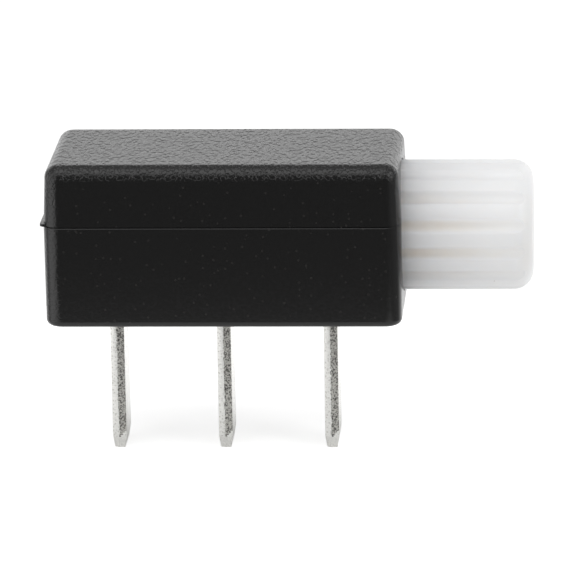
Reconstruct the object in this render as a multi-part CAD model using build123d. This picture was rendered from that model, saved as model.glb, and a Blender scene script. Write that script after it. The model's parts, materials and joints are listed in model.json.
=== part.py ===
from build123d import *
import os

# Slide switch: a housing moulded in two halves, a fluted plunger that slides along X, a sprung
# bridge contact that wipes over three inlaid blade terminals, and a leaf spring that holds the
# plunger in either position. Sizes are in millimetres. X points out along the plunger, Z is up,
# and the origin is the centre of the housing's underside, the seating face.

# Cuts run this far past the faces that they open
overrun = 1.0

# Plunger: fluted knob, neck and carriage in one moulding
knob_diameter = 7.35
knob_reach = 7.3
knob_engagement = 0.55
knob_end_radius = 1.1
flute_count = 14
flute_width = 0.86
flute_depth = 0.24
ridge_edge_radius = 0.12
neck_diameter = 4.6
travel = 3.0
carriage_length = 8.75
carriage_side_clearance = 0.15
carriage_floor_clearance = 0.35
carriage_edge_radius = 0.3

# Housing: lower and upper half, split a little above the plunger's axis
body_length = 20.1
side_wall = 1.2
end_wall = 1.2
rear_wall = 1.2
floor_under_bore = 0.945
seam_rise = 1.08
roof_thickness = 0.76
bore_clearance = 0.1
cavity_clearance = 0.125
corner_radius = 1.0
cavity_corner_radius = 0.4
base_edge_radius = 0.36
cover_edge_radius = 0.76
base_draft_degrees = 0.15
cover_draft_degrees = 2.6
seam_chamfer = 0.05
lip_width = 0.45
lip_height = 0.5
lip_clearance = 0.04
gate_thickness = 1.2
neck_clearance = 0.2
stop_clearance = 0.05

# Ledge along the foot of the cover's rear end
ledge_reach = 0.16
ledge_height = 0.16
ledge_margin = 0.4

# Blade terminals
terminal_pitch = 6.08
terminal_thickness = 0.8
terminal_width = 2.8
terminal_reach = 8.1
tip_length = 0.65
tip_taper_degrees = 9.5
roll_width = 0.37
roll_drop = 0.1
bend_inner_radius = 0.1
blade_setback = 0.22
pad_length = 1.6
web_under_foot = 1.2
seat_clearance = 0.03

# Bridge contact and its coil spring
bridge_thickness = 0.3
bridge_width = 3.0
bridge_overhang = 1.2
bridge_wing_height = 1.3
bridge_bend_radius = 0.25
wiper_half_width = 0.6
wiper_depth = 0.3
wiper_gap = 0.02
pocket_clearance = 0.1
wire_diameter = 0.3
coil_diameter = 2.5
coil_turns = 4
wire_sides = 6
coil_hole_clearance = 0.15
coil_hole_depth = 2.5
coil_seat_gap = 0.02

# Leaf spring that clicks into the carriage
leaf_thickness = 0.2
leaf_width = 3.0
leaf_half_span = 4.0
leaf_seat_length = 0.7
leaf_bend_radius = 0.3
leaf_gap = 0.12
leaf_space = 0.92
leaf_seat_gap = 0.02
leaf_seat_wall = 0.5
leaf_seat_height = 0.45
leaf_side_clearance = 0.1
detent_half_width = 0.9
detent_depth = 0.35
detent_clearance = 0.08

# Heights
knob_radius = knob_diameter / 2
bore_radius = knob_radius + bore_clearance
axis_height = floor_under_bore + bore_radius
seam_height = axis_height + seam_rise
ceiling_height = axis_height + knob_radius + cavity_clearance
cover_height = ceiling_height + roof_thickness - seam_height
floor_top = web_under_foot + terminal_thickness
carriage_bottom = floor_top + carriage_floor_clearance
carriage_top = ceiling_height - leaf_space
bridge_level = floor_top + wiper_gap + wiper_depth + bridge_thickness / 2
wing_top = bridge_level - bridge_thickness / 2 + bridge_wing_height
pocket_top = wing_top + pocket_clearance
coil_hole_top = pocket_top + coil_hole_depth
leaf_seat_level = ceiling_height - leaf_seat_gap - leaf_thickness / 2
leaf_level = carriage_top + leaf_gap + leaf_thickness / 2
detent_level = carriage_top - detent_depth + leaf_thickness / 2

# Places along the plunger
front_end = body_length / 2
rear_end = -body_length / 2
cavity_front = front_end - end_wall
cavity_rear = rear_end + rear_wall
shoulder_out = front_end - knob_engagement
shoulder_in = shoulder_out - travel
gate_front = shoulder_in - stop_clearance
gate_rear = gate_front - gate_thickness
gate_middle = (gate_front + gate_rear) / 2
carriage_front = gate_rear - stop_clearance
carriage_rear = carriage_front - carriage_length
front_blade = gate_front - blade_setback - terminal_thickness / 2
common_blade = front_blade - terminal_pitch
rear_blade = common_blade - terminal_pitch
bend_outer_radius = bend_inner_radius + terminal_thickness
common_pad = common_blade + terminal_thickness / 2 - bend_outer_radius - pad_length / 2
front_pad = common_pad + travel
rear_pad = common_pad - travel
bridge_centre = (common_pad + front_pad) / 2
bridge_half_length = travel / 2 + bridge_overhang
detent_centre = (carriage_rear + carriage_front - travel) / 2

# Widths
cavity_width = knob_diameter + 2 * cavity_clearance
body_width = cavity_width + 2 * side_wall
carriage_width = cavity_width - 2 * carriage_side_clearance
neck_gap = neck_diameter + 2 * neck_clearance

# Each terminal's blade, the far end of its foot, and the way that the foot points along X
terminals = {
    "terminal_front": (front_blade, front_pad - pad_length / 2, -1),
    "terminal_common": (common_blade, common_pad - pad_length / 2, -1),
    "terminal_rear": (rear_blade, rear_pad + pad_length / 2, 1),
}


def span(x_one, x_two, width, z_low, z_high):
    """Block between two X and two Z values, centred on Y."""
    centre = Pos((x_one + x_two) / 2, 0, (z_low + z_high) / 2)
    return centre * Box(abs(x_two - x_one), width, z_high - z_low)


def round_bar(radius, x_low, x_high):
    """Bar on the plunger's axis between two X values."""
    start = Plane((x_low, 0, axis_height), x_dir=(0, 1, 0), z_dir=(1, 0, 0))
    return extrude(start * Circle(radius), amount=x_high - x_low)


def strip(points, bend_radius, thickness, width):
    """Metal strip of even thickness that follows points in X and Z, centred on Y."""
    path = FilletPolyline(*[(x, -width / 2, z) for x, z in points], radius=bend_radius)
    middle = Wire(path.edges())
    left = middle.offset_2d(thickness / 2, side=Side.LEFT, closed=False)
    right = middle.offset_2d(thickness / 2, side=Side.RIGHT, closed=False)
    ends = [Line(left @ 0, right @ 1), Line(left @ 1, right @ 0)]
    outline = make_face([*left.edges(), *right.edges(), *ends])
    return extrude(outline, amount=width, dir=(0, 1, 0))


def cavity_outline(grow):
    """Outline of the housing's inside, grown outwards into its walls."""
    length = cavity_front - cavity_rear + 2 * grow
    outline = RectangleRounded(length, cavity_width + 2 * grow, cavity_corner_radius + grow)
    return Pos((cavity_front + cavity_rear) / 2, 0, 0) * outline


def half_block(way, height, draft_degrees, edge_radius):
    """Outer block of a housing half, drafted away from the seam, way up (1) or down (-1)."""
    seam = Plane((0, 0, seam_height), x_dir=(1, 0, 0), z_dir=(0, 0, way))
    outline = seam * RectangleRounded(body_length, body_width, corner_radius)
    block = extrude(outline, amount=height, taper=draft_degrees)
    away = Axis((0, 0, 0), (0, 0, way))
    block = fillet(block.edges().group_by(away)[-1], edge_radius)
    return chamfer(block.edges().group_by(away)[0], seam_chamfer)


def lap_ring(inner, outer, z_low, z_high):
    """Ring of the lap joint in the wall, left open beside the plunger's bore."""
    ring = cavity_outline(outer) - cavity_outline(inner)
    ring = extrude(Pos(0, 0, z_low) * ring, amount=z_high - z_low)
    return ring - span(gate_middle, front_end, body_width, z_low - overrun, z_high + overrun)


def terminal_seat(blade, foot_end, way):
    """Slot, foot recess and bend relief that take one terminal from above."""
    half = terminal_thickness / 2 + seat_clearance
    width = terminal_width + 2 * seat_clearance
    slot = span(blade - half, blade + half, width, -overrun, floor_top + overrun)
    outer_side = blade - way * half
    recess_end = foot_end + way * seat_clearance
    recess = span(outer_side, recess_end, width, web_under_foot, floor_top + overrun)
    relief_end = blade + way * (half + bend_inner_radius)
    relief = span(blade, relief_end, width, web_under_foot - bend_inner_radius, floor_top)
    return slot + recess + relief


def make_base():
    """Lower half: floor with the terminal seats, stop ribs, lap lip and open trough of the bore."""
    block = half_block(-1, seam_height, base_draft_degrees, base_edge_radius)
    inside = extrude(Pos(0, 0, floor_top) * cavity_outline(0), amount=seam_height)
    block += lap_ring(lip_clearance, lip_width, seam_height - lip_height, seam_height + lip_height)
    block -= inside
    rib_width = (cavity_width - neck_gap) / 2 + side_wall / 2
    rib_centre = neck_gap / 2 + rib_width / 2
    rib = span(gate_rear, gate_front, rib_width, floor_top - web_under_foot, seam_height)
    block += Pos(0, rib_centre, 0) * rib
    block += Pos(0, -rib_centre, 0) * rib
    block -= round_bar(bore_radius, gate_front, front_end + overrun)
    bore_end = front_end + overrun
    block -= span(gate_front, bore_end, 2 * bore_radius, axis_height, seam_height + overrun)
    for blade, foot_end, way in terminals.values():
        block -= terminal_seat(blade, foot_end, way)
    return block


def leaf_seat(way):
    """Walls on the ceiling that hold one end of the leaf spring, way along X."""
    inner_end = detent_centre + way * (leaf_half_span - leaf_seat_length)
    leaf_end = detent_centre + way * (leaf_half_span + leaf_side_clearance)
    outer_end = leaf_end + way * leaf_seat_wall
    gap = leaf_width + 2 * leaf_side_clearance
    low = ceiling_height - leaf_seat_height
    root = ceiling_height + roof_thickness / 2
    walls = span(inner_end, outer_end, gap + 2 * leaf_seat_wall, low, root)
    return walls - span(inner_end - way * overrun, leaf_end, gap, low - overrun, ceiling_height)


def rear_ledge():
    """Thin ledge that stands out along the rear end, just above the seam."""
    width = body_width - 2 * ledge_margin
    outer_end = rear_end - ledge_reach
    wall_middle = rear_end + rear_wall / 2
    ledge = span(outer_end, wall_middle, width, seam_height, seam_height + ledge_height)
    return chamfer(ledge.edges().filter_by(Axis.Z).group_by(Axis.X)[0], ledge_reach)


def make_cover():
    """Upper half: roof, gate web round the neck, leaf spring seats and the bore's arc."""
    block = half_block(1, cover_height, cover_draft_degrees, cover_edge_radius)
    block += rear_ledge()
    inside_height = ceiling_height - seam_height
    inside = extrude(Pos(0, 0, seam_height) * cavity_outline(0), amount=inside_height)
    block -= inside
    web = span(gate_rear, gate_front, cavity_width + side_wall, seam_height, ceiling_height)
    block += web
    block -= round_bar(neck_gap / 2, gate_rear - overrun, gate_front + overrun)
    block -= round_bar(bore_radius, gate_front, front_end + overrun)
    rebate_depth = lip_height + lip_clearance
    rebate = lap_ring(0, lip_width + lip_clearance, seam_height - overrun, seam_height + rebate_depth)
    block -= rebate
    block += leaf_seat(1)
    block += leaf_seat(-1)
    return block


def fluted_knob():
    """Round knob with lengthwise flutes, a ridge on each side, and a rounded outer end."""
    half_width = flute_width / 2
    flute_radius = (half_width**2 + flute_depth**2) / (2 * flute_depth)
    flute_place = knob_radius - flute_depth + flute_radius
    half_step_degrees = 180 / flute_count
    flutes = PolarLocations(flute_place, flute_count, half_step_degrees) * Circle(flute_radius)
    section = Circle(knob_radius) - flutes
    section = fillet(section.vertices(), ridge_edge_radius)
    start = Plane((shoulder_out, 0, axis_height), x_dir=(0, 1, 0), z_dir=(1, 0, 0))
    fluted = extrude(start * section, amount=knob_engagement + knob_reach)
    envelope = round_bar(knob_radius, shoulder_out, front_end + knob_reach)
    outer_rim = envelope.edges().sort_by(Axis.X)[-1]
    return fluted & fillet(outer_rim, knob_end_radius)


def detent_notch(x):
    """Groove across the carriage's top that takes the leaf spring's bend."""
    depth = detent_depth + detent_clearance
    half_width = detent_half_width + detent_clearance
    rim = [(x - half_width, 0, carriage_top), (x + half_width, 0, carriage_top)]
    groove = make_face(Polyline((x, 0, carriage_top - depth), *rim, close=True))
    return extrude(groove, amount=carriage_width, dir=(0, 1, 0), both=True)


def make_slider():
    """White plunger: fluted knob, neck, and carriage with the contact pocket and detent notches."""
    carriage = span(carriage_rear, carriage_front, carriage_width, carriage_bottom, carriage_top)
    carriage = fillet(carriage.edges().filter_by(Axis.X), carriage_edge_radius)
    carriage = fillet(carriage.edges().group_by(Axis.X)[0], carriage_edge_radius)
    pocket_half = bridge_half_length + pocket_clearance
    pocket_width = bridge_width + 2 * pocket_clearance
    pocket_ends = (bridge_centre - pocket_half, bridge_centre + pocket_half)
    carriage -= span(*pocket_ends, pocket_width, carriage_bottom - overrun, pocket_top)
    hole_radius = coil_diameter / 2 + coil_hole_clearance
    hole_face = Pos(bridge_centre, 0, carriage_bottom) * Circle(hole_radius)
    carriage -= extrude(hole_face, amount=coil_hole_top - carriage_bottom)
    carriage -= detent_notch(detent_centre)
    carriage -= detent_notch(detent_centre + travel)
    neck = round_bar(neck_diameter / 2, carriage_front - carriage_edge_radius, shoulder_out)
    return carriage + neck + fluted_knob()


def rolled_edge(blade, side):
    """Wedge along one sheared edge of a blade, where the strip was drawn in before it parted."""
    skin = blade - terminal_thickness / 2
    edge = terminal_width / 2
    points = [
        (skin - roll_width, side * (edge - 2 * roll_drop)),
        (skin + 2 * roll_width, side * (edge + roll_drop)),
        (skin - roll_width, side * (edge + roll_drop)),
    ]
    outline = Polyline(*[(x, y, 0) for x, y in points], close=True)
    return extrude(make_face(outline), amount=terminal_reach + overrun, dir=(0, 0, -1))


def make_terminal(blade, foot_end, way):
    """Blade terminal: inlaid foot, bend, blade with rolled edges, and coined tip."""
    foot_level = web_under_foot + terminal_thickness / 2
    tip_start = tip_length - terminal_reach
    points = [(blade, tip_start), (blade, foot_level), (foot_end, foot_level)]
    bend_radius = bend_inner_radius + terminal_thickness / 2
    metal = strip(points, bend_radius, terminal_thickness, terminal_width)
    tip_plane = Plane((blade, 0, tip_start), x_dir=(1, 0, 0), z_dir=(0, 0, -1))
    tip_face = tip_plane * Rectangle(terminal_thickness, terminal_width)
    metal += extrude(tip_face, amount=tip_length, taper=tip_taper_degrees)
    return metal - rolled_edge(blade, 1) - rolled_edge(blade, -1)


def make_bridge_contact():
    """Staple-shaped bridge with two wiper bends that ride on the terminal feet."""
    wing = bridge_half_length - bridge_thickness / 2
    wiper = travel / 2
    half = [
        (wiper - wiper_half_width, bridge_level),
        (wiper, bridge_level - wiper_depth),
        (wiper + wiper_half_width, bridge_level),
        (wing, bridge_level),
        (wing, wing_top),
    ]
    left = [(bridge_centre - x, z) for x, z in reversed(half)]
    right = [(bridge_centre + x, z) for x, z in half]
    return strip(left + right, bridge_bend_radius, bridge_thickness, bridge_width)


def make_contact_spring():
    """Coil spring between the bridge and the top of its hole in the carriage."""
    bottom = bridge_level + bridge_thickness / 2 + coil_seat_gap + wire_diameter / 2
    top = coil_hole_top - coil_seat_gap - wire_diameter / 2
    coil_radius = (coil_diameter - wire_diameter) / 2
    path = Helix((top - bottom) / coil_turns, top - bottom, coil_radius)
    wire = Plane(path @ 0, z_dir=path % 0) * RegularPolygon(wire_diameter / 2, wire_sides)
    return Pos(bridge_centre, 0, bottom) * sweep(wire, path=path, is_frenet=True)


def make_detent_spring():
    """Bowed leaf whose middle bend rests in a notch of the carriage."""
    half = [
        (detent_half_width, leaf_level),
        (leaf_half_span - leaf_seat_length, leaf_seat_level),
        (leaf_half_span, leaf_seat_level),
    ]
    left = [(detent_centre - x, z) for x, z in reversed(half)]
    right = [(detent_centre + x, z) for x, z in half]
    middle = [(detent_centre, detent_level)]
    return strip(left + middle + right, leaf_bend_radius, leaf_thickness, leaf_width)


parts = {
    "base": make_base(),
    "cover": make_cover(),
    "slider": make_slider(),
    "bridge_contact": make_bridge_contact(),
    "contact_spring": make_contact_spring(),
    "detent_spring": make_detent_spring(),
}
for node, places in terminals.items():
    parts[node] = make_terminal(*places)

os.makedirs("parts", exist_ok=True)
for node, shape in parts.items():
    export_step(shape, f"parts/{node}.step")
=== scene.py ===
"""Looks of a small slide switch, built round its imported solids.

A black housing moulded in two halves, a white fluted plunger that slides along X, and three tin-plated
blades punched from strip. Lengths are in metres, in the frame of the solids: X points out along the
plunger, Z is up, and the origin is the centre of the housing's underside.
"""

import json
import logging
import math
from collections.abc import Callable, Iterator
from contextlib import contextmanager
from dataclasses import dataclass, field
from enum import Enum

import bmesh
import bpy
from mathutils import Matrix, Vector

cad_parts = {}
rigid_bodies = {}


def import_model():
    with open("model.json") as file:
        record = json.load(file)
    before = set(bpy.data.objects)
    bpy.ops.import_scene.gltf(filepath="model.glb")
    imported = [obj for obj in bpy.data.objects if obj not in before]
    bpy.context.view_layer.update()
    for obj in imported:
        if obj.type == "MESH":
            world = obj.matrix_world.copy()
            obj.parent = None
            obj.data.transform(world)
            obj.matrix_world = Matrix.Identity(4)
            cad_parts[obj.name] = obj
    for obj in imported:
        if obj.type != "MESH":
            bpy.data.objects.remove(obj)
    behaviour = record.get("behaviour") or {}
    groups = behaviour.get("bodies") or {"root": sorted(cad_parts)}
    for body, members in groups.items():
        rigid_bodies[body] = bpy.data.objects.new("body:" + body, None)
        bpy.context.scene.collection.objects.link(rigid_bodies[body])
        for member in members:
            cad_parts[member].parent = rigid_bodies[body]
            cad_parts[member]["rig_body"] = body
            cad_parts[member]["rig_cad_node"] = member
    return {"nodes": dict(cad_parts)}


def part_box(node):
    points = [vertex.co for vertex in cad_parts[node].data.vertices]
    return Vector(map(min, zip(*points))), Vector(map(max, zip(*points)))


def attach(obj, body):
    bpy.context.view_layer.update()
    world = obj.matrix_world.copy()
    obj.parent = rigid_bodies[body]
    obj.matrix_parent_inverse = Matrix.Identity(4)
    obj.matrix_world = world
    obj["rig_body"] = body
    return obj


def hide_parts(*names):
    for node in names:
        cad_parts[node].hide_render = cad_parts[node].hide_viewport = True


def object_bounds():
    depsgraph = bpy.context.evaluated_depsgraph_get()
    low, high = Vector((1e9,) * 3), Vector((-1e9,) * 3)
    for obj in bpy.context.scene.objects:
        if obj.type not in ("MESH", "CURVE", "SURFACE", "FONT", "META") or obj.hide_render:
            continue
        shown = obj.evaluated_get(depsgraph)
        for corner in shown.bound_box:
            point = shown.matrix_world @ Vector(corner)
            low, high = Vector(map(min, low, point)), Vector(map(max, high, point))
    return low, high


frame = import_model()
cad_low, cad_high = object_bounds()

log = logging.getLogger("slide_switch")

MM = 0.001
NEAR = 0.002 * MM
CREASE_DEGREES = 32.0

Socket = bpy.types.NodeSocket
Feed = Socket | float | tuple[float, ...]
Colour = tuple[float, float, float, float]
Scales = tuple[float, float, float]
Span = tuple[float, float]


class Body(Enum):
    """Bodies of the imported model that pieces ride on."""

    HOUSING = "housing"
    PLUNGER = "plunger"


class Slot(Enum):
    """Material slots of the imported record."""

    HOUSING = "black_housing"
    PLUNGER = "white_plunger"
    TERMINAL = "tinned_terminal"
    BRIDGE = "contact_bronze"
    SPRING = "spring_steel"


class Foot(Enum):
    """Way along X that a terminal's foot points."""

    TO_REAR = -1
    TO_KNOB = 1


class EdgeZone(Enum):
    """Zones of a punched blade, by the number of their material on the piece."""

    ROLLED = 0
    BURNISHED = 1
    TORN = 2


class SocketKind(Enum):
    """Kinds of socket that a shared shader group has."""

    VALUE = "NodeSocketFloat"
    VECTOR = "NodeSocketVector"


class Graph:
    """One node tree, with short ways to add nodes and join them."""

    def __init__(self, tree: bpy.types.NodeTree) -> None:
        """Keeps the tree that the nodes go into."""
        self.tree = tree

    def add(
        self, kind: str, feeds: dict[str | int, Feed] | None = None, **settings: object
    ) -> bpy.types.Node:
        """Adds a node.

        Args:
            kind: The node's type.
            feeds: What each input takes, a socket or a plain value, by the input's name or number.
            settings: The node's own properties.

        Returns:
            The new node.
        """
        node = self.tree.nodes.new(kind)
        for name, value in settings.items():
            setattr(node, name, value)
        for place, value in (feeds or {}).items():
            self.feed(value, node.inputs[place])
        return node

    def feed(self, value: Feed, taker: Socket) -> None:
        """Joins a socket to an input, or sets the input to a plain value.

        Args:
            value: The socket or the plain value.
            taker: The input.
        """
        if isinstance(value, Socket):
            self.tree.links.new(value, taker)
        else:
            taker.default_value = value

    def maths(self, operation: str, *values: Feed) -> Socket:
        """Adds a Math node and gives its result."""
        return self.add("ShaderNodeMath", dict(enumerate(values)), operation=operation).outputs[0]

    def vector_maths(self, operation: str, feeds: dict[str | int, Feed]) -> Socket:
        """Adds a Vector Math node and gives its vector."""
        return self.add("ShaderNodeVectorMath", feeds, operation=operation).outputs[0]

    def ramp(self, value: Socket, low: float, high: float, start: Feed = 0.0, end: Feed = 1.0) -> Socket:
        """Eases a value from start, at low, to end, at high.

        Args:
            value: The value that is read.
            low: Where the ramp starts.
            high: Where the ramp ends.
            start: Result up to low.
            end: Result from high on.

        Returns:
            The eased value.
        """
        limits = {"Value": value, "From Min": low, "From Max": high, "To Min": start, "To Max": end}
        return self.add("ShaderNodeMapRange", limits, interpolation_type="SMOOTHSTEP").outputs["Result"]

    def blend(self, factor: Feed, first: Feed, second: Feed) -> Socket:
        """Mixes two colours.

        Args:
            factor: The share of the second colour.
            first: The colour at 0.
            second: The colour at 1.

        Returns:
            The mixed colour.
        """
        node = self.add("ShaderNodeMix", data_type="RGBA")
        sockets = {socket.identifier: socket for socket in (*node.inputs, *node.outputs)}
        self.feed(factor, sockets["Factor_Float"])
        self.feed(first, sockets["A_Color"])
        self.feed(second, sockets["B_Color"])
        return sockets["Result_Color"]

    def noise(self, vector: Socket, scale: Feed, detail: float = 2.0, roughness: float = 0.5) -> Socket:
        """Adds fractal noise and gives its value."""
        feeds = {"Vector": vector, "Scale": scale, "Detail": detail, "Roughness": roughness}
        return self.add("ShaderNodeTexNoise", feeds).outputs[0]

    def stretched(self, vector: Socket, scale: Scales) -> Socket:
        """Scales a vector differently along X, Y and Z."""
        return self.add("ShaderNodeMapping", {"Vector": vector, "Scale": scale}).outputs["Vector"]

    def group(self, tree: bpy.types.NodeTree, feeds: dict[str | int, Feed]) -> bpy.types.Node:
        """Places a shared shader group and feeds its inputs."""
        return self.add("ShaderNodeGroup", feeds, node_tree=tree)


@dataclass(frozen=True)
class SharedEffect:
    """A shader group that more than one finish uses. It takes Vector and values, and gives values."""

    name: str
    values: tuple[str, ...]
    results: tuple[str, ...]

    def start(self) -> tuple[Graph, bpy.types.Node, bpy.types.Node]:
        """Makes the empty group.

        Returns:
            Its graph, its input node and its output node.
        """
        tree = bpy.data.node_groups.new(self.name, "ShaderNodeTree")
        sockets = [("Vector", "INPUT", SocketKind.VECTOR)]
        sockets += [(value, "INPUT", SocketKind.VALUE) for value in self.values]
        sockets += [(result, "OUTPUT", SocketKind.VALUE) for result in self.results]
        for name, way, kind in sockets:
            tree.interface.new_socket(name=name, in_out=way, socket_type=kind.value)
        return Graph(tree), tree.nodes.new("NodeGroupInput"), tree.nodes.new("NodeGroupOutput")


@dataclass(frozen=True)
class MouldGrain(SharedEffect):
    """Leathery relief of a spark-eroded mould: low domes parted by wandering valleys, with grit on them."""

    name: str = "mould_grain"
    values: tuple[str, ...] = ("Cells",)
    results: tuple[str, ...] = ("Height", "Valley")
    noise_middle: Scales = (0.5, 0.5, 0.5)
    wander_share: float = 0.35
    smoothness: float = 0.15
    valley_span: Span = (0.48, 0.72)
    grit_per_cell: float = 3.0
    grit_share: float = 0.6
    dome_height: float = 0.7

    def build(self) -> bpy.types.NodeTree:
        """Builds the group.

        Returns:
            The group. Cells is the domes in a metre, and Height and Valley are about 0 to 1.
        """
        graph, taken, given = self.start()
        vector, cells = taken.outputs["Vector"], taken.outputs["Cells"]
        feeds = {"Vector": vector, "Scale": cells, "Detail": 1.0}
        wander = graph.add("ShaderNodeTexNoise", feeds).outputs["Color"]
        wander = graph.vector_maths("SUBTRACT", {0: wander, 1: self.noise_middle})
        reach = graph.maths("DIVIDE", self.wander_share, cells)
        shift = graph.vector_maths("SCALE", {0: wander, "Scale": reach})
        bent = graph.vector_maths("ADD", {0: vector, 1: shift})
        feeds = {"Vector": bent, "Scale": cells, "Smoothness": self.smoothness}
        domes = graph.add("ShaderNodeTexVoronoi", feeds, feature="SMOOTH_F1").outputs["Distance"]
        valley = graph.ramp(domes, *self.valley_span)
        grit = graph.noise(vector, graph.maths("MULTIPLY", cells, self.grit_per_cell))
        height = graph.maths("SUBTRACT", graph.maths("MULTIPLY", grit, self.grit_share), valley)
        height = graph.maths("MULTIPLY_ADD", height, self.dome_height, self.dome_height)
        graph.feed(height, given.inputs["Height"])
        graph.feed(valley, given.inputs["Valley"])
        return graph.tree


@dataclass(frozen=True)
class SparseSpecks(SharedEffect):
    """Rare round specks, one in some of the cells that space is cut into."""

    name: str = "sparse_specks"
    values: tuple[str, ...] = ("Cells", "Radius", "Rarity")
    results: tuple[str, ...] = ("Speck",)

    def build(self) -> bpy.types.NodeTree:
        """Builds the group.

        Returns:
            The group. Its values are those of Specks, and Speck is a mask from 0 to 1.
        """
        graph, taken, given = self.start()
        feeds = {"Vector": taken.outputs["Vector"], "Scale": taken.outputs["Cells"]}
        cell = graph.add("ShaderNodeTexVoronoi", feeds)
        near = graph.maths("LESS_THAN", cell.outputs["Distance"], taken.outputs["Radius"])
        draw = graph.add("ShaderNodeSeparateColor", {"Color": cell.outputs["Color"]}).outputs[0]
        chosen = graph.maths("GREATER_THAN", draw, taken.outputs["Rarity"])
        graph.feed(graph.maths("MULTIPLY", near, chosen), given.inputs["Speck"])
        return graph.tree


@dataclass(frozen=True)
class DrawnStreaks(SharedEffect):
    """Fine streaks that rolling, drawing or punching leaves, along the vector's least scaled axis."""

    name: str = "drawn_streaks"
    values: tuple[str, ...] = ()
    results: tuple[str, ...] = ("Streak",)
    coarse_share: float = 0.55
    fine_share: float = 0.45
    fine_scale: float = 3.7

    def build(self) -> bpy.types.NodeTree:
        """Builds the group.

        Returns:
            The group. Its Vector is already stretched across the streaks, and Streak is 0 to 1.
        """
        graph, taken, given = self.start()
        vector = taken.outputs["Vector"]
        coarse = graph.maths("MULTIPLY", graph.noise(vector, 1.0, detail=3.0), self.coarse_share)
        fine = graph.noise(vector, self.fine_scale, roughness=0.6)
        graph.feed(graph.maths("MULTIPLY_ADD", fine, self.fine_share, coarse), given.inputs["Streak"])
        return graph.tree


@dataclass(frozen=True)
class Effects:
    """The shader groups that the finishes share."""

    grain: bpy.types.NodeTree
    specks: bpy.types.NodeTree
    streaks: bpy.types.NodeTree


@dataclass(frozen=True)
class Specks:
    """Spread of specks: cells in a metre, radius as a share of a cell, and the share of empty cells."""

    cells: float
    radius: float
    rarity: float


@dataclass(frozen=True)
class Finish:
    """What every finish has: a name, the shared effects, and a material with one Principled shader."""

    name: str
    effects: Effects

    def start(self) -> tuple[bpy.types.Material, Graph, bpy.types.Node, Socket]:
        """Makes the bare material.

        Returns:
            The material, its graph, its shader and its Object coordinates.
        """
        material = bpy.data.materials.new(self.name)
        material.use_nodes = True
        graph = Graph(material.node_tree)
        shader = next(node for node in graph.tree.nodes if node.type == "BSDF_PRINCIPLED")
        place = graph.add("ShaderNodeTexCoord").outputs["Object"]
        return material, graph, shader, place

    def speckle(self, graph: Graph, place: Socket, specks: Specks) -> Socket:
        """Places the specks and gives their mask."""
        feeds = {"Vector": place, "Cells": specks.cells, "Radius": specks.radius, "Rarity": specks.rarity}
        return graph.group(self.effects.specks, feeds).outputs["Speck"]

    def bump(self, graph: Graph, shader: bpy.types.Node, height: Socket, depth: float) -> None:
        """Raises a relief of the given depth on the shader's surface."""
        relief = graph.add("ShaderNodeBump", {"Height": height, "Strength": 1.0, "Distance": depth})
        graph.feed(relief.outputs["Normal"], shader.inputs["Normal"])


@dataclass(frozen=True)
class GrainedPlastic(Finish):
    """Black moulded plastic with pale specks, which are painted glints of its grain. Its grain is full on
    the top and fades on the walls.

    Attributes:
        top: Z of the top face.
        far_end: X of the end away from the knob, which keeps corner_share of the grain.
        seam: Z of the seam. From there down the far end keeps low_corner_share of that.
        rim: Depth below the top where the grain starts to grow from wall_share.
        rim_end: Depth below the top where it has grown to rim_share.
        rim_flat: Depth below the top from where it grows on to the full grain.
        corner: Reach of the far end's grain round its corners.
    """

    top: float
    far_end: float
    seam: float
    colour: Colour = (0.0062, 0.0061, 0.006, 1.0)
    valley_colour: Colour = (0.0042, 0.0041, 0.004, 1.0)
    # Pale speck colour: a painted glint of the grain, laid on as diffuse colour.
    speck_colour: Colour = (0.021, 0.02, 0.019, 1.0)
    specks: Specks = Specks(cells=1 / (0.4 * MM), radius=0.15, rarity=0.3)
    cells: float = 1 / (0.28 * MM)
    stretch: Scales = (1.35, 0.55, 1.35)
    depth: float = 0.076 * MM
    valley_roughness: float = 0.26
    dome_roughness: float = 0.2
    rim: float = 0.95 * MM
    rim_end: float = 0.5 * MM
    rim_flat: float = 0.1 * MM
    rim_share: float = 0.55
    wall_share: float = 0.012
    corner: float = 1.14 * MM
    corner_share: float = 0.35
    low_corner_share: float = 0.4

    def material(self) -> bpy.types.Material:
        """Builds the material.

        Returns:
            The housing's material.
        """
        material, graph, shader, place = self.start()
        feeds = {"Vector": graph.stretched(place, self.stretch), "Cells": self.cells}
        grain = graph.group(self.effects.grain, feeds).outputs
        tone = graph.blend(grain["Valley"], self.colour, self.valley_colour)
        # Pale specks are painted highlights: diffuse colour standing in for the grain's glints.
        tone = graph.blend(self.speckle(graph, place, self.specks), tone, self.speck_colour)
        graph.feed(tone, shader.inputs["Base Color"])
        rough = graph.ramp(grain["Height"], 0.0, 1.0, self.valley_roughness, self.dome_roughness)
        graph.feed(rough, shader.inputs["Roughness"])
        relief = graph.maths("MULTIPLY", grain["Height"], self.grain_share(graph, place))
        self.bump(graph, shader, relief, self.depth)
        return material

    def grain_share(self, graph: Graph, place: Socket) -> Socket:
        """Works out how deep the grain is: full on the top, less on its rim and at the far end.

        Args:
            graph: The material's graph.
            place: Its Object coordinates.

        Returns:
            The share of the full depth.
        """
        axes = graph.add("ShaderNodeSeparateXYZ", {0: place}).outputs
        rim_low, rim_high = self.top - self.rim, self.top - self.rim_end
        share = graph.ramp(axes["Z"], rim_low, rim_high, self.wall_share, self.rim_share)
        share = graph.ramp(axes["Z"], self.top - self.rim_flat, self.top - NEAR, share, 1.0)
        inner, outer = self.far_end + self.corner, self.far_end + self.rim_end
        corner = graph.ramp(axes["X"], inner, outer, 0.0, self.corner_share)
        upper = graph.ramp(axes["Z"], self.seam, rim_low, self.low_corner_share, 1.0)
        return graph.maths("MAXIMUM", share, graph.maths("MULTIPLY", corner, upper))


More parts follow.
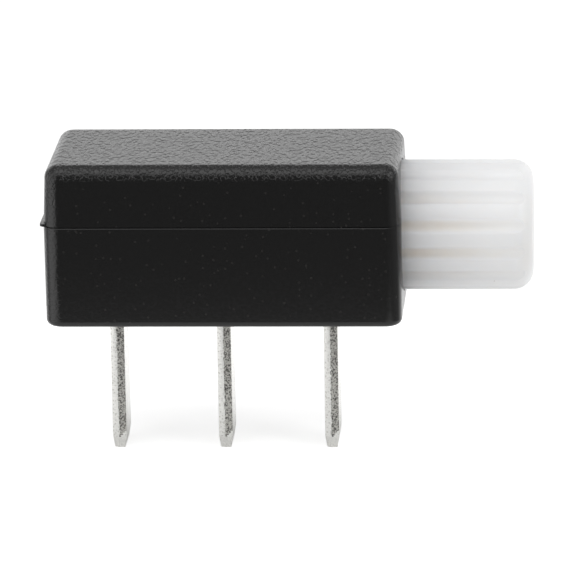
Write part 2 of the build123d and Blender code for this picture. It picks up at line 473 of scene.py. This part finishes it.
@dataclass(frozen=True)
class MilkyPlastic(Finish):
    """White moulding that lets light in, with flutes that the greased bore has tinted over its travel, and
    painted shade that darkens it towards the bore.
    """

    bore_mouth: float
    # Near the bore the colours are darker: a warm grease tint in the flutes plus painted shade from the
    # housing.
    greased_and_shaded_reach: float = 6.4 * MM
    tint_start: float = 0.9 * MM
    tint_end: float = 3.0 * MM
    axis_height: float = 4.72 * MM
    flute_radius: float = 3.44 * MM
    ridge_radius: float = 3.62 * MM
    ridge_colour: Colour = (0.88, 0.885, 0.895, 1.0)
    flute_colour: Colour = (0.875, 0.868, 0.855, 1.0)
    greased_and_shaded_ridge: Colour = (0.77, 0.77, 0.78, 1.0)
    greased_and_shaded_flute: Colour = (0.74, 0.7, 0.655, 1.0)
    cloud_colour: Colour = (0.84, 0.845, 0.84, 1.0)
    cloud_cells: float = 1 / (1.6 * MM)
    cloud_span: Span = (0.35, 0.75)
    cloud_share: float = 0.25
    speck_colour: Colour = (0.25, 0.2, 0.16, 1.0)
    specks: Specks = Specks(cells=1 / (1.9 * MM), radius=0.03, rarity=0.8)
    gloss_span: Span = (0.3, 0.7)
    roughness: Span = (0.3, 0.42)
    scatter: float = 1.0
    scatter_reach: float = 6.5 * MM
    scatter_shares: Scales = (1.0, 0.95, 0.9)
    grain_cells: float = 1 / (0.3 * MM)
    grain_depth: float = 0.0012 * MM

    def material(self) -> bpy.types.Material:
        """Builds the material.

        Returns:
            The plunger's material.
        """
        material, graph, shader, place = self.start()
        cloud = graph.noise(place, self.cloud_cells, detail=3.0)
        veil = graph.ramp(cloud, *self.cloud_span, 0.0, self.cloud_share)
        tone = graph.blend(veil, self.tint_and_painted_shade(graph, place), self.cloud_colour)
        tone = graph.blend(self.speckle(graph, place, self.specks), tone, self.speck_colour)
        graph.feed(tone, shader.inputs["Base Color"])
        graph.feed(graph.ramp(cloud, *self.gloss_span, *self.roughness), shader.inputs["Roughness"])
        shader.inputs["Subsurface Weight"].default_value = self.scatter
        shader.inputs["Subsurface Radius"].default_value = self.scatter_shares
        shader.inputs["Subsurface Scale"].default_value = self.scatter_reach
        grain = graph.group(self.effects.grain, {"Vector": place, "Cells": self.grain_cells})
        self.bump(graph, shader, grain.outputs["Height"], self.grain_depth)
        return material

    def tint_and_painted_shade(self, graph: Graph, place: Socket) -> Socket:
        """Colours ridges and flutes: a warm grease tint with painted shade from the housing near the bore,
        and clean at the outer end.

        Args:
            graph: The material's graph.
            place: Its Object coordinates.

        Returns:
            The colour.
        """
        axes = graph.add("ShaderNodeSeparateXYZ", {0: place}).outputs
        rise = graph.maths("SUBTRACT", axes["Z"], self.axis_height)
        across = graph.maths("MULTIPLY", axes["Y"], axes["Y"])
        radius = graph.maths("SQRT", graph.maths("MULTIPLY_ADD", rise, rise, across))
        ridge = graph.ramp(radius, self.flute_radius, self.ridge_radius)
        off_axis = graph.ramp(graph.maths("ABSOLUTE", rise), self.tint_start, self.tint_end)
        ridge = graph.maths("MAXIMUM", ridge, off_axis)
        clean = graph.blend(ridge, self.flute_colour, self.ridge_colour)
        # Grease tint plus painted shade: darker ridges and flutes near the bore mouth.
        greased_and_shaded = graph.blend(ridge, self.greased_and_shaded_flute, self.greased_and_shaded_ridge)
        out = graph.ramp(axes["X"], self.bore_mouth, self.bore_mouth + self.greased_and_shaded_reach)
        return graph.blend(out, greased_and_shaded, clean)


@dataclass(frozen=True)
class StripMetal(Finish):
    """Plated or bare strip metal with streaks and pits."""

    colour: Colour
    pit_colour: Colour
    stretch: Scales
    roughness: Span = (0.34, 0.22)
    gloss_span: Span = (0.3, 0.7)
    shade_span: Span = (0.35, 0.65)
    shade_share: float = 0.86
    streak_depth: float = 0.002 * MM
    pits: Specks = Specks(cells=1 / (0.3 * MM), radius=0.16, rarity=0.6)
    pit_depth: float = 0.006 * MM

    def material(self) -> bpy.types.Material:
        """Builds the material.

        Returns:
            The metal's material.
        """
        material, graph, shader, place = self.start()
        feeds = {"Vector": graph.stretched(place, self.stretch)}
        streak = graph.group(self.effects.streaks, feeds).outputs["Streak"]
        pit = self.speckle(graph, place, self.pits)
        shade = tuple(self.shade_share * part for part in self.colour[:3]) + (1.0,)
        tone = graph.blend(graph.ramp(streak, *self.shade_span), shade, self.colour)
        graph.feed(graph.blend(pit, tone, self.pit_colour), shader.inputs["Base Color"])
        graph.feed(graph.ramp(streak, *self.gloss_span, *self.roughness), shader.inputs["Roughness"])
        shader.inputs["Metallic"].default_value = 1.0
        drop = graph.maths("MULTIPLY", pit, self.pit_depth / self.streak_depth)
        self.bump(graph, shader, graph.maths("SUBTRACT", streak, drop), self.streak_depth)
        return material


@dataclass(frozen=True)
class RolledTin(StripMetal):
    """Tin plate on a blade's broad faces, streaked along the blade."""

    colour: Colour = (0.87, 0.865, 0.835, 1.0)
    pit_colour: Colour = (0.5, 0.49, 0.465, 1.0)
    stretch: Scales = (18000.0, 18000.0, 1500.0)


@dataclass(frozen=True)
class BurnishedTin(StripMetal):
    """Bright mottled land on a blade's edges, streaked along the punch's stroke."""

    colour: Colour = (0.91, 0.905, 0.875, 1.0)
    pit_colour: Colour = (0.66, 0.65, 0.62, 1.0)
    stretch: Scales = (2500.0, 18000.0, 14000.0)
    roughness: Span = (0.38, 0.26)
    pits: Specks = Specks(cells=1 / (0.13 * MM), radius=0.38, rarity=0.35)
    pit_depth: float = 0.003 * MM


@dataclass(frozen=True)
class ContactBronze(StripMetal):
    """Bare bronze of the bridge contact, streaked along X."""

    colour: Colour = (0.72, 0.45, 0.25, 1.0)
    pit_colour: Colour = (0.4, 0.24, 0.13, 1.0)
    stretch: Scales = (1500.0, 18000.0, 18000.0)


@dataclass(frozen=True)
class SpringSteel(StripMetal):
    """Bare steel of the coil and the leaf, streaked along X."""

    colour: Colour = (0.56, 0.56, 0.58, 1.0)
    pit_colour: Colour = (0.3, 0.3, 0.31, 1.0)
    stretch: Scales = (1500.0, 18000.0, 18000.0)


@dataclass(frozen=True)
class TornTin(Finish):
    """Grainy band where a punched edge broke away, plated over."""

    colour: Colour = (0.6, 0.59, 0.555, 1.0)
    hollow_colour: Colour = (0.108, 0.104, 0.098, 1.0)
    hollow_span: Span = (0.58, 0.38)
    gloss_span: Span = (0.3, 0.7)
    roughness: Span = (0.6, 0.34)
    grains: float = 1 / (0.085 * MM)
    depth: float = 0.03 * MM

    def material(self) -> bpy.types.Material:
        """Builds the material.

        Returns:
            The torn band's material.
        """
        material, graph, shader, place = self.start()
        grain = graph.noise(place, self.grains, detail=3.0, roughness=0.65)
        tone = graph.blend(graph.ramp(grain, *self.hollow_span), self.colour, self.hollow_colour)
        graph.feed(tone, shader.inputs["Base Color"])
        graph.feed(graph.ramp(grain, *self.gloss_span, *self.roughness), shader.inputs["Roughness"])
        shader.inputs["Metallic"].default_value = 1.0
        self.bump(graph, shader, grain, self.depth)
        return material


def deselect_all() -> None:
    """Leaves nothing selected, so that an operator acts on the new piece alone."""
    bpy.ops.object.select_all(action="DESELECT")


def select_only(piece: bpy.types.Object) -> None:
    """Selects one piece and makes it active.

    Args:
        piece: The piece to select.
    """
    deselect_all()
    piece.select_set(True)
    bpy.context.view_layer.objects.active = piece


@contextmanager
def editing(piece: bpy.types.Object) -> Iterator[None]:
    """Opens one piece in edit mode with nothing selected, and closes it again.

    Args:
        piece: The piece to edit.

    Yields:
        Nothing; the body of the with statement runs in edit mode.
    """
    select_only(piece)
    bpy.ops.object.mode_set(mode="EDIT")
    bpy.ops.mesh.select_mode(type="VERT")
    bpy.ops.mesh.select_all(action="DESELECT")
    yield
    bpy.ops.object.mode_set(mode="OBJECT")


def pick_faces(piece: bpy.types.Object, wanted: Callable[[Vector, Vector], bool]) -> None:
    """Selects faces in edit mode by their place and normal.

    Args:
        piece: The piece in edit mode.
        wanted: Says of a face's centre and normal whether it is selected.
    """
    bpy.ops.mesh.select_mode(type="FACE")
    mesh = bmesh.from_edit_mesh(piece.data)
    for face in mesh.faces:
        face.select_set(wanted(face.calc_center_median(), face.normal))
    bmesh.update_edit_mesh(piece.data)


def pick_edges(piece: bpy.types.Object, wanted: Callable[[Vector, Vector], bool]) -> None:
    """Selects edges in edit mode by their two ends.

    Args:
        piece: The piece in edit mode.
        wanted: Says of an edge's two ends whether it is selected.
    """
    bpy.ops.mesh.select_mode(type="EDGE")
    mesh = bmesh.from_edit_mesh(piece.data)
    for edge in mesh.edges:
        edge.select_set(wanted(edge.verts[0].co, edge.verts[1].co))
    bmesh.update_edit_mesh(piece.data)


def pick_points(piece: bpy.types.Object, wanted: Callable[[Vector], bool]) -> None:
    """Selects vertices in edit mode by their place.

    Args:
        piece: The piece in edit mode.
        wanted: Says of a vertex's place whether it is selected.
    """
    bpy.ops.mesh.select_mode(type="VERT")
    mesh = bmesh.from_edit_mesh(piece.data)
    for point in mesh.verts:
        point.select_set(wanted(point.co))
    mesh.select_flush(True)
    bmesh.update_edit_mesh(piece.data)


def even_shading(piece: bpy.types.Object, crease_degrees: float) -> None:
    """Smooths a piece up to a crease angle, with normals that follow its large faces.

    Args:
        piece: The piece to smooth.
        crease_degrees: Edges sharper than this stay creased.
    """
    select_only(piece)
    bpy.ops.object.shade_smooth_by_angle(angle=math.radians(crease_degrees))
    weights = piece.modifiers.new("even_normals", "WEIGHTED_NORMAL")
    weights.keep_sharp = True
    bpy.ops.object.modifier_apply(modifier=weights.name)


def skin_of(node: str, name: str, crease_degrees: float) -> bpy.types.Object:
    """Copies a solid's loose triangles, joins them into one skin and smooths its shading.

    Args:
        node: The solid's node.
        name: The new piece's name.
        crease_degrees: Edges sharper than this stay creased.

    Returns:
        The piece that stands for the node.
    """
    select_only(frame["nodes"][node])
    bpy.ops.object.duplicate()
    piece = bpy.context.active_object
    piece.name = name
    piece.data.name = name
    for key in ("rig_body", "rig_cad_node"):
        del piece[key]
    with editing(piece):
        bpy.ops.mesh.select_all(action="SELECT")
        bpy.ops.mesh.remove_doubles(threshold=NEAR / 2)
    bpy.ops.mesh.customdata_custom_splitnormals_clear()
    even_shading(piece, crease_degrees)
    return piece


def stand_for(
    piece: bpy.types.Object, node: str, body: Body, slot: Slot, *finishes: bpy.types.Material
) -> None:
    """Puts a dressed piece in a node's place on its body.

    Args:
        piece: The piece to show.
        node: The node that it stands for.
        body: The body that it rides on.
        slot: The record's slot that its finish belongs to. It is not used.
        finishes: Its materials, in order.
    """
    piece.data.materials.clear()
    for finish in finishes:
        piece.data.materials.append(finish)
    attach(piece, body.value)
    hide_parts(node)
    log.info("%s stands for %s: %d faces", piece.name, node, len(piece.data.polygons))


@dataclass
class Housing:
    """Base and cover, moulded in black and welded along the seam."""

    finish: bpy.types.Material
    halves: tuple[str, ...] = ("base", "cover")

    def build(self) -> None:
        """Skins both halves and dresses them in the grained plastic."""
        for half in self.halves:
            piece = skin_of(half, f"{half}_shell", CREASE_DEGREES)
            stand_for(piece, half, Body.HOUSING, Slot.HOUSING, self.finish)


@dataclass
class Plunger:
    """Fluted knob with its neck and carriage, and the contact that the carriage takes along."""

    knob: bpy.types.Material
    bridge: bpy.types.Material
    spring: bpy.types.Material
    coil_crease_degrees: float = 70.0

    def build(self) -> None:
        """Skins the plunger, its bridge contact and the coil spring, and dresses them."""
        plunger = skin_of("slider", "fluted_plunger", CREASE_DEGREES)
        stand_for(plunger, "slider", Body.PLUNGER, Slot.PLUNGER, self.knob)
        bridge = skin_of("bridge_contact", "contact_bridge", CREASE_DEGREES)
        stand_for(bridge, "bridge_contact", Body.PLUNGER, Slot.BRIDGE, self.bridge)
        coil = skin_of("contact_spring", "contact_coil", self.coil_crease_degrees)
        stand_for(coil, "contact_spring", Body.PLUNGER, Slot.SPRING, self.spring)


@dataclass
class DetentLeaf:
    """Leaf spring under the cover that the carriage clicks against."""

    finish: bpy.types.Material

    def build(self) -> None:
        """Skins the leaf and dresses it."""
        leaf = skin_of("detent_spring", "detent_leaf", CREASE_DEGREES)
        stand_for(leaf, "detent_spring", Body.HOUSING, Slot.SPRING, self.finish)


@dataclass
class BladeTerminal:
    """One terminal punched from strip: foot, bend, and a blade with sheared edges and a coined tip.

    Attributes:
        finishes: Materials of the zones, in the order of EdgeZone.
        seed: Start of the random draws that tear the edges.
        rollover: How far the burnished land draws in towards the face that the punch entered.
        break_back: How far the torn band draws in towards the other face.
        tear_slope: Width that the torn band gains for each length above the tip.
    """

    node: str
    foot: Foot
    finishes: tuple[bpy.types.Material, ...]
    seed: int
    thickness: float = 0.8 * MM
    bend_inner_radius: float = 0.1 * MM
    bend_steps: int = 6
    tip_length: float = 0.65 * MM
    tip_taper_degrees: float = 9.5
    burnished_width: float = 0.37 * MM
    rollover: float = 0.1 * MM
    break_back: float = 0.025 * MM
    sharp_degrees: float = 50.0
    edge_radius: float = 0.02 * MM
    edge_segments: int = 2
    ring_cuts: int = 72
    ring_length_share: float = 0.8
    band_cuts: int = 3
    tear: float = 0.012 * MM
    tear_waver: float = 0.05 * MM
    tear_slope: float = 1.2
    crease_degrees: float = 40.0
    end_cosine: float = 0.9
    edge_cosine: float = 0.7
    low: Vector = field(init=False)
    high: Vector = field(init=False)

    def __post_init__(self) -> None:
        """Takes the terminal's room from its node."""
        self.low, self.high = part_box(self.node)

    @property
    def width(self) -> float:
        """Width of the strip, along Y."""
        return self.high.y - self.low.y

    @property
    def middle(self) -> float:
        """X of the blade's middle, at the end of the foot that bends down."""
        outer = self.low.x if self.foot is Foot.TO_KNOB else self.high.x
        return outer + self.foot.value * self.thickness / 2

    @property
    def tip_start(self) -> float:
        """Z where the coined tip ends and the straight blade starts."""
        return self.low.z + self.tip_length

    @property
    def bend_height(self) -> float:
        """Z where the blade ends and the bend starts."""
        return self.high.z - self.bend_inner_radius - self.thickness

    @property
    def tear_line(self) -> float:
        """X where the burnished land ends and the torn band starts."""
        return self.middle - self.thickness / 2 + self.burnished_width

    def build(self) -> None:
        """Models the terminal and dresses its zones."""
        piece = self.blank()
        with editing(piece):
            self.shear(piece)
            self.bend(piece)
            self.coin_tip(piece)
            self.ease_edges()
            self.ring(piece)
        stand_for(piece, self.node, Body.HOUSING, Slot.TERMINAL, *self.finishes)
        self.zone(piece)
        with editing(piece):
            self.roughen(piece)
        even_shading(piece, self.crease_degrees)

    def blank(self) -> bpy.types.Object:
        """Adds the straight blade as a block between its tip and its bend.

        Returns:
            The new piece, with its place in its mesh.
        """
        deselect_all()
        centre = (self.middle, 0.0, (self.tip_start + self.bend_height) / 2)
        size = (self.thickness, self.width, self.bend_height - self.tip_start)
        bpy.ops.mesh.primitive_cube_add(size=1.0, location=centre, scale=size)
        bpy.ops.object.transform_apply(location=True, rotation=True, scale=True)
        piece = bpy.context.active_object
        piece.name = f"{self.node}_strip"
        piece.data.name = piece.name
        return piece

    def shear(self, piece: bpy.types.Object) -> None:
        """Gives both edges a rolled-over burnished land and a torn band that leans back.

        Args:
            piece: The blade in edit mode.
        """
        bpy.ops.mesh.select_all(action="SELECT")
        bpy.ops.mesh.bisect(plane_co=(self.tear_line, 0.0, 0.0), plane_no=(1.0, 0.0, 0.0))
        half = self.width / 2
        for side, back in ((-1, self.rollover), (1, self.break_back)):
            face = self.middle + side * self.thickness / 2
            pick_points(piece, lambda place: abs(place.x - face) < NEAR)
            squeeze = (1.0, (half - back) / half, 1.0)
            bpy.ops.transform.resize(value=squeeze, center_override=(face, 0.0, 0.0))

    def bend(self, piece: bpy.types.Object) -> None:
        """Turns the strip's top end over and draws the foot out of it.

        Args:
            piece: The blade in edit mode.
        """
        way = self.foot.value
        pick_faces(piece, lambda centre, normal: normal.z > self.end_cosine)
        hub = self.middle + way * (self.thickness / 2 + self.bend_inner_radius)
        bpy.ops.mesh.spin(
            steps=self.bend_steps,
            angle=way * math.pi / 2,
            center=(hub, 0.0, self.bend_height),
            axis=(0.0, 1.0, 0.0),
        )
        far_end = self.high.x if self.foot is Foot.TO_KNOB else self.low.x
        bpy.ops.mesh.extrude_region_move(TRANSFORM_OT_translate={"value": (far_end - hub, 0.0, 0.0)})

    def coin_tip(self, piece: bpy.types.Object) -> None:
        """Draws the tip out of the blade's lower end and tapers it on all sides.

        Args:
            piece: The blade in edit mode.
        """
        pick_faces(
            piece,
            lambda centre, normal: normal.z < -self.end_cosine and abs(centre.z - self.tip_start) < NEAR,
        )
        bpy.ops.mesh.extrude_region_move(TRANSFORM_OT_translate={"value": (0.0, 0.0, -self.tip_length)})
        inset = 2 * self.tip_length * math.tan(math.radians(self.tip_taper_degrees))
        taper = (1 - inset / self.thickness, 1 - inset / self.width, 1.0)
        bpy.ops.transform.resize(value=taper, center_override=(self.middle, 0.0, self.low.z))

    def ease_edges(self) -> None:
        """Rounds the sharp edges of the blade in edit mode a little."""
        bpy.ops.mesh.select_mode(type="EDGE")
        bpy.ops.mesh.select_all(action="DESELECT")
        bpy.ops.mesh.edges_select_sharp(sharpness=math.radians(self.sharp_degrees))
        bpy.ops.mesh.bevel(offset=self.edge_radius, segments=self.edge_segments, affect="EDGES")

    def ring(self, piece: bpy.types.Object) -> None:
        """Cuts the blade into short lengths, so that its torn band can be roughened.

        Args:
            piece: The blade in edit mode.
        """
        top = self.bend_height + NEAR
        least = self.ring_length_share * (self.bend_height - self.tip_start)
        pick_edges(piece, lambda one, two: abs(one.z - two.z) > least and max(one.z, two.z) < top)
        bpy.ops.mesh.subdivide(number_cuts=self.ring_cuts)
        pick_edges(
            piece,
            lambda one, two: self.in_band(one) and self.in_band(two) and abs(one.z - two.z) < NEAR,
        )
        bpy.ops.mesh.subdivide(number_cuts=self.band_cuts)

    def in_band(self, place: Vector) -> bool:
        """Says whether a place lies on the torn band of either edge."""
        deep = self.width / 2 - abs(place.y) < self.break_back + self.edge_radius
        return deep and place.x > self.tear_line - NEAR and place.z < self.bend_height

    def on_tear_line(self, place: Vector) -> bool:
        """Says whether a place lies on the line where the torn band starts, between tip and bend."""
        straight = self.tip_start + NEAR < place.z < self.bend_height - NEAR
        return straight and abs(place.x - self.tear_line) < NEAR

    def roughen(self, piece: bpy.types.Object) -> None:
        """Pushes the torn band's points in and out at random and lets its border waver.

        Args:
            piece: The blade in edit mode.
        """
        inner = self.middle + self.thickness / 2 - 2 * self.edge_radius
        pick_points(piece, lambda place: self.in_band(place) and self.tear_line + NEAR < place.x < inner)
        bpy.ops.transform.vertex_random(offset=self.tear, normal=1.0, seed=self.seed)
        for side in (-1, 1):
            edge = side * self.width / 2
            pick_points(piece, lambda place: self.on_tear_line(place) and abs(place.y - edge) < NEAR)
            bpy.ops.transform.vertex_random(offset=self.tear_waver, normal=0.0, seed=self.seed)
            bpy.ops.transform.resize(value=(1.0, 0.0, 1.0), center_override=(0.0, edge, 0.0))
        bpy.ops.mesh.select_all(action="SELECT")
        bpy.ops.mesh.normals_make_consistent(inside=False)

    def zone(self, piece: bpy.types.Object) -> None:
        """Gives each face the material of its zone.

        Args:
            piece: The dressed blade.
        """
        for face in piece.data.polygons:
            rise = face.center.z - self.tip_start
            across = face.center.x - self.tear_line
            zone = EdgeZone.ROLLED
            if abs(face.normal.y) > self.edge_cosine and 0 < rise < self.bend_height - self.tip_start:
                torn = 0 <= across <= self.tear_slope * rise
                zone = EdgeZone.TORN if torn else EdgeZone.BURNISHED
            face.material_index = zone.value


def bearing(azimuth_degrees: float, elevation_degrees: float) -> Vector:
    """Gives the way from the origin to a place round the switch.

    Args:
        azimuth_degrees: Angle from the front, positive towards the knob.
        elevation_degrees: Angle above the level.

    Returns:
        A vector of length 1.
    """
    azimuth = math.radians(azimuth_degrees)
    elevation = math.radians(elevation_degrees)
    level = math.cos(elevation)
    return Vector((math.sin(azimuth) * level, -math.cos(azimuth) * level, math.sin(elevation)))


@dataclass
class Viewpoint:
    """Camera at the photograph's view, fitted to the housing's outline."""

    aim_height: float = 4.72 * MM
    azimuth_degrees: float = 4.43
    elevation_degrees: float = 14.56
    roll_degrees: float = 1.22
    distance: float = 312.3 * MM
    focal_pixels: float = 5500.0
    frame_pixels: float = 574.0
    aim_pixel: tuple[float, float] = (227.6, 224.5)
    sensor: float = 36.0
    clip_shares: Span = (0.1, 100.0)

    def build(self) -> None:
        """Places the camera and makes it the scene's."""
        azimuth = math.radians(self.azimuth_degrees)
        roll = math.radians(self.roll_degrees)
        ahead = -bearing(self.azimuth_degrees, self.elevation_degrees)
        right = Vector((math.cos(azimuth), math.sin(azimuth), 0.0))
        up = right.cross(ahead)
        rolled_right = math.cos(roll) * right - math.sin(roll) * up
        rolled_up = math.sin(roll) * right + math.cos(roll) * up
        off_x, off_y = ((self.frame_pixels / 2 - aim) / self.focal_pixels for aim in self.aim_pixel)
        line = (ahead + off_x * rolled_right - off_y * rolled_up).normalized()
        side = line.cross(rolled_up).normalized()
        turn = Matrix((side, side.cross(line), -line)).transposed()
        place = Vector((0.0, 0.0, self.aim_height)) - self.distance * ahead
        camera = bpy.data.objects.new("camera", bpy.data.cameras.new("camera"))
        camera.data.sensor_width = self.sensor
        camera.data.lens = self.sensor * self.focal_pixels / self.frame_pixels
        camera.data.clip_start, camera.data.clip_end = (share * self.distance for share in self.clip_shares)
        camera.matrix_world = Matrix.Translation(place) @ turn.to_4x4()
        bpy.context.scene.collection.objects.link(camera)
        bpy.context.scene.camera = camera


@dataclass(frozen=True)
class SoftBox:
    """Large soft lamp that faces the switch."""

    name: str
    azimuth_degrees: float
    elevation_degrees: float
    size: float
    power: float
    distance: float = 0.4

    def build(self) -> None:
        """Hangs the lamp, turned to the origin."""
        away = bearing(self.azimuth_degrees, self.elevation_degrees)
        data = bpy.data.lights.new(self.name, "AREA")
        data.size = self.size
        data.energy = self.power
        lamp = bpy.data.objects.new(self.name, data)
        turn = away.to_track_quat("Z", "Y").to_matrix().to_4x4()
        lamp.matrix_world = Matrix.Translation(self.distance * away) @ turn
        bpy.context.scene.collection.objects.link(lamp)


@dataclass
class Studio:
    """Dim surroundings with a white back and a window on the left, soft lamps, and a pale floor.

    Attributes:
        floor_lift: Glow that the camera sees on the floor, which leaves shadows faint.
        mirror_lift: Glow that mirrored views see on the floor in front of the switch.
        back_lift: Glow that they see on the floor behind it, from back_start on.
        side_span: Y of the view's way between which dim_level turns into side_level. The other
            spans are alike: along Y for the backdrop, to the window, and along Z for overhead.
    """

    floor_level: float
    floor_reach: float = 29.0 * MM
    floor_colour: Colour = (0.92, 0.92, 0.92, 1.0)
    floor_lift: float = 0.53
    mirror_lift: float = 0.1
    back_lift: float = 0.5
    back_start: float = 8.0 * MM
    dim_level: float = 0.18
    side_level: float = 0.33
    side_span: Span = (-0.9, 0.0)
    backdrop_level: float = 1.1
    backdrop_span: Span = (0.2, 0.6)
    window_level: float = 1.5
    window_span: Span = (0.68, 0.97)
    window_azimuth_degrees: float = -64.0
    overhead_level: float = 0.5
    overhead_span: Span = (0.3, 0.65)
    lamps: tuple[SoftBox, ...] = (
        SoftBox("overhead_box", azimuth_degrees=-8.0, elevation_degrees=63.0, size=0.36, power=0.5),
        SoftBox("left_box", azimuth_degrees=-48.0, elevation_degrees=42.0, size=0.3, power=0.12),
        SoftBox("right_box", azimuth_degrees=65.0, elevation_degrees=20.0, size=0.3, power=0.52),
    )

    def build(self) -> None:
        """Sets the colour view, the surroundings, the lamps and the floor."""
        bpy.context.scene.view_settings.view_transform = "Standard"
        self.surroundings()
        for lamp in self.lamps:
            lamp.build()
        self.floor()

    def surroundings(self) -> None:
        """Lights the scene from a dim room with a white back and a window. The camera sees plain white."""
        world = bpy.data.worlds.new("surroundings")
        bpy.context.scene.world = world
        world.use_nodes = True
        graph = Graph(world.node_tree)
        sky = next(node for node in graph.tree.nodes if node.type == "BACKGROUND")
        generated = graph.add("ShaderNodeTexCoord").outputs["Generated"]
        axes = graph.add("ShaderNodeSeparateXYZ", {0: generated}).outputs
        room = graph.ramp(axes["Y"], *self.side_span, self.dim_level, self.side_level)
        backdrop = graph.ramp(axes["Y"], *self.backdrop_span, room, self.backdrop_level)
        window_way = bearing(self.window_azimuth_degrees, 0.0)
        towards = graph.maths("MULTIPLY", axes["X"], window_way.x)
        towards = graph.maths("MULTIPLY_ADD", axes["Y"], window_way.y, towards)
        window = graph.ramp(towards, *self.window_span, 0.0, self.window_level)
        low = graph.maths("MAXIMUM", backdrop, window)
        level = graph.ramp(axes["Z"], *self.overhead_span, low, self.overhead_level)
        seen = graph.add("ShaderNodeLightPath").outputs["Is Camera Ray"]
        graph.feed(graph.maths("MAXIMUM", level, seen), sky.inputs["Strength"])
        sky.inputs["Color"].default_value = (1.0, 1.0, 1.0, 1.0)

    def floor(self) -> None:
        """Lays the floor."""
        deselect_all()
        bpy.ops.mesh.primitive_plane_add(size=2 * self.floor_reach, location=(0.0, 0.0, self.floor_level))
        bpy.ops.object.transform_apply(location=True, rotation=True, scale=True)
        floor = bpy.context.active_object
        floor.name = "floor"
        floor.data.materials.append(self.floor_finish())

    def floor_finish(self) -> bpy.types.Material:
        """Builds a finish that is white from above wherever no shadow falls, and clear from below.

        Returns:
            The floor's material.
        """
        material = bpy.data.materials.new("pale_floor")
        material.use_nodes = True
        graph = Graph(material.node_tree)
        graph.tree.nodes.clear()
        path = graph.add("ShaderNodeLightPath").outputs
        seen = graph.maths("MAXIMUM", path["Is Camera Ray"], path["Is Transmission Ray"])
        strength = graph.maths("MULTIPLY", seen, self.floor_lift)
        place = graph.add("ShaderNodeTexCoord").outputs["Object"]
        back = graph.add("ShaderNodeSeparateXYZ", {0: place}).outputs["Y"]
        mirrored = graph.ramp(back, 0.0, self.back_start, self.mirror_lift, self.back_lift)
        strength = graph.maths("MULTIPLY_ADD", path["Is Glossy Ray"], mirrored, strength)
        lift = graph.add("ShaderNodeEmission", {"Strength": strength}).outputs[0]
        paint = graph.add("ShaderNodeBsdfDiffuse", {"Color": self.floor_colour}).outputs[0]
        both = graph.add("ShaderNodeAddShader", {0: paint, 1: lift}).outputs[0]
        below = graph.add("ShaderNodeNewGeometry").outputs["Backfacing"]
        clear = graph.add("ShaderNodeBsdfTransparent").outputs[0]
        sides = graph.add("ShaderNodeMixShader", {0: below, 1: both, 2: clear}).outputs[0]
        graph.add("ShaderNodeOutputMaterial", {"Surface": sides})
        return material


def main() -> None:
    """Builds the pieces in order, dresses them, and sets the studio and the camera."""
    logging.basicConfig(level=logging.INFO, format="%(name)s: %(message)s")
    effects = Effects(MouldGrain().build(), SparseSpecks().build(), DrawnStreaks().build())
    base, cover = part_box("base"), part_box("cover")
    black = GrainedPlastic(
        "black_housing", effects, top=cover[1].z, far_end=base[0].x, seam=cover[0].z
    ).material()
    milky = MilkyPlastic("white_plunger", effects, bore_mouth=base[1].x).material()
    rolled = RolledTin("tinned_terminal", effects).material()
    burnished = BurnishedTin("burnished_edge", effects).material()
    torn = TornTin("torn_edge", effects).material()
    bronze = ContactBronze("contact_bronze", effects).material()
    steel = SpringSteel("spring_steel", effects).material()

    Housing(black).build()
    Plunger(milky, bronze, steel).build()
    DetentLeaf(steel).build()
    blade_finishes = (rolled, burnished, torn)
    feet = {
        "terminal_front": Foot.TO_REAR,
        "terminal_common": Foot.TO_REAR,
        "terminal_rear": Foot.TO_KNOB,
    }
    for seed, (node, foot) in enumerate(feet.items(), start=1):
        BladeTerminal(node, foot, blade_finishes, seed).build()

    Studio(floor_level=cad_low.z).build()
    Viewpoint().build()


if __name__ == "__main__":
    main()
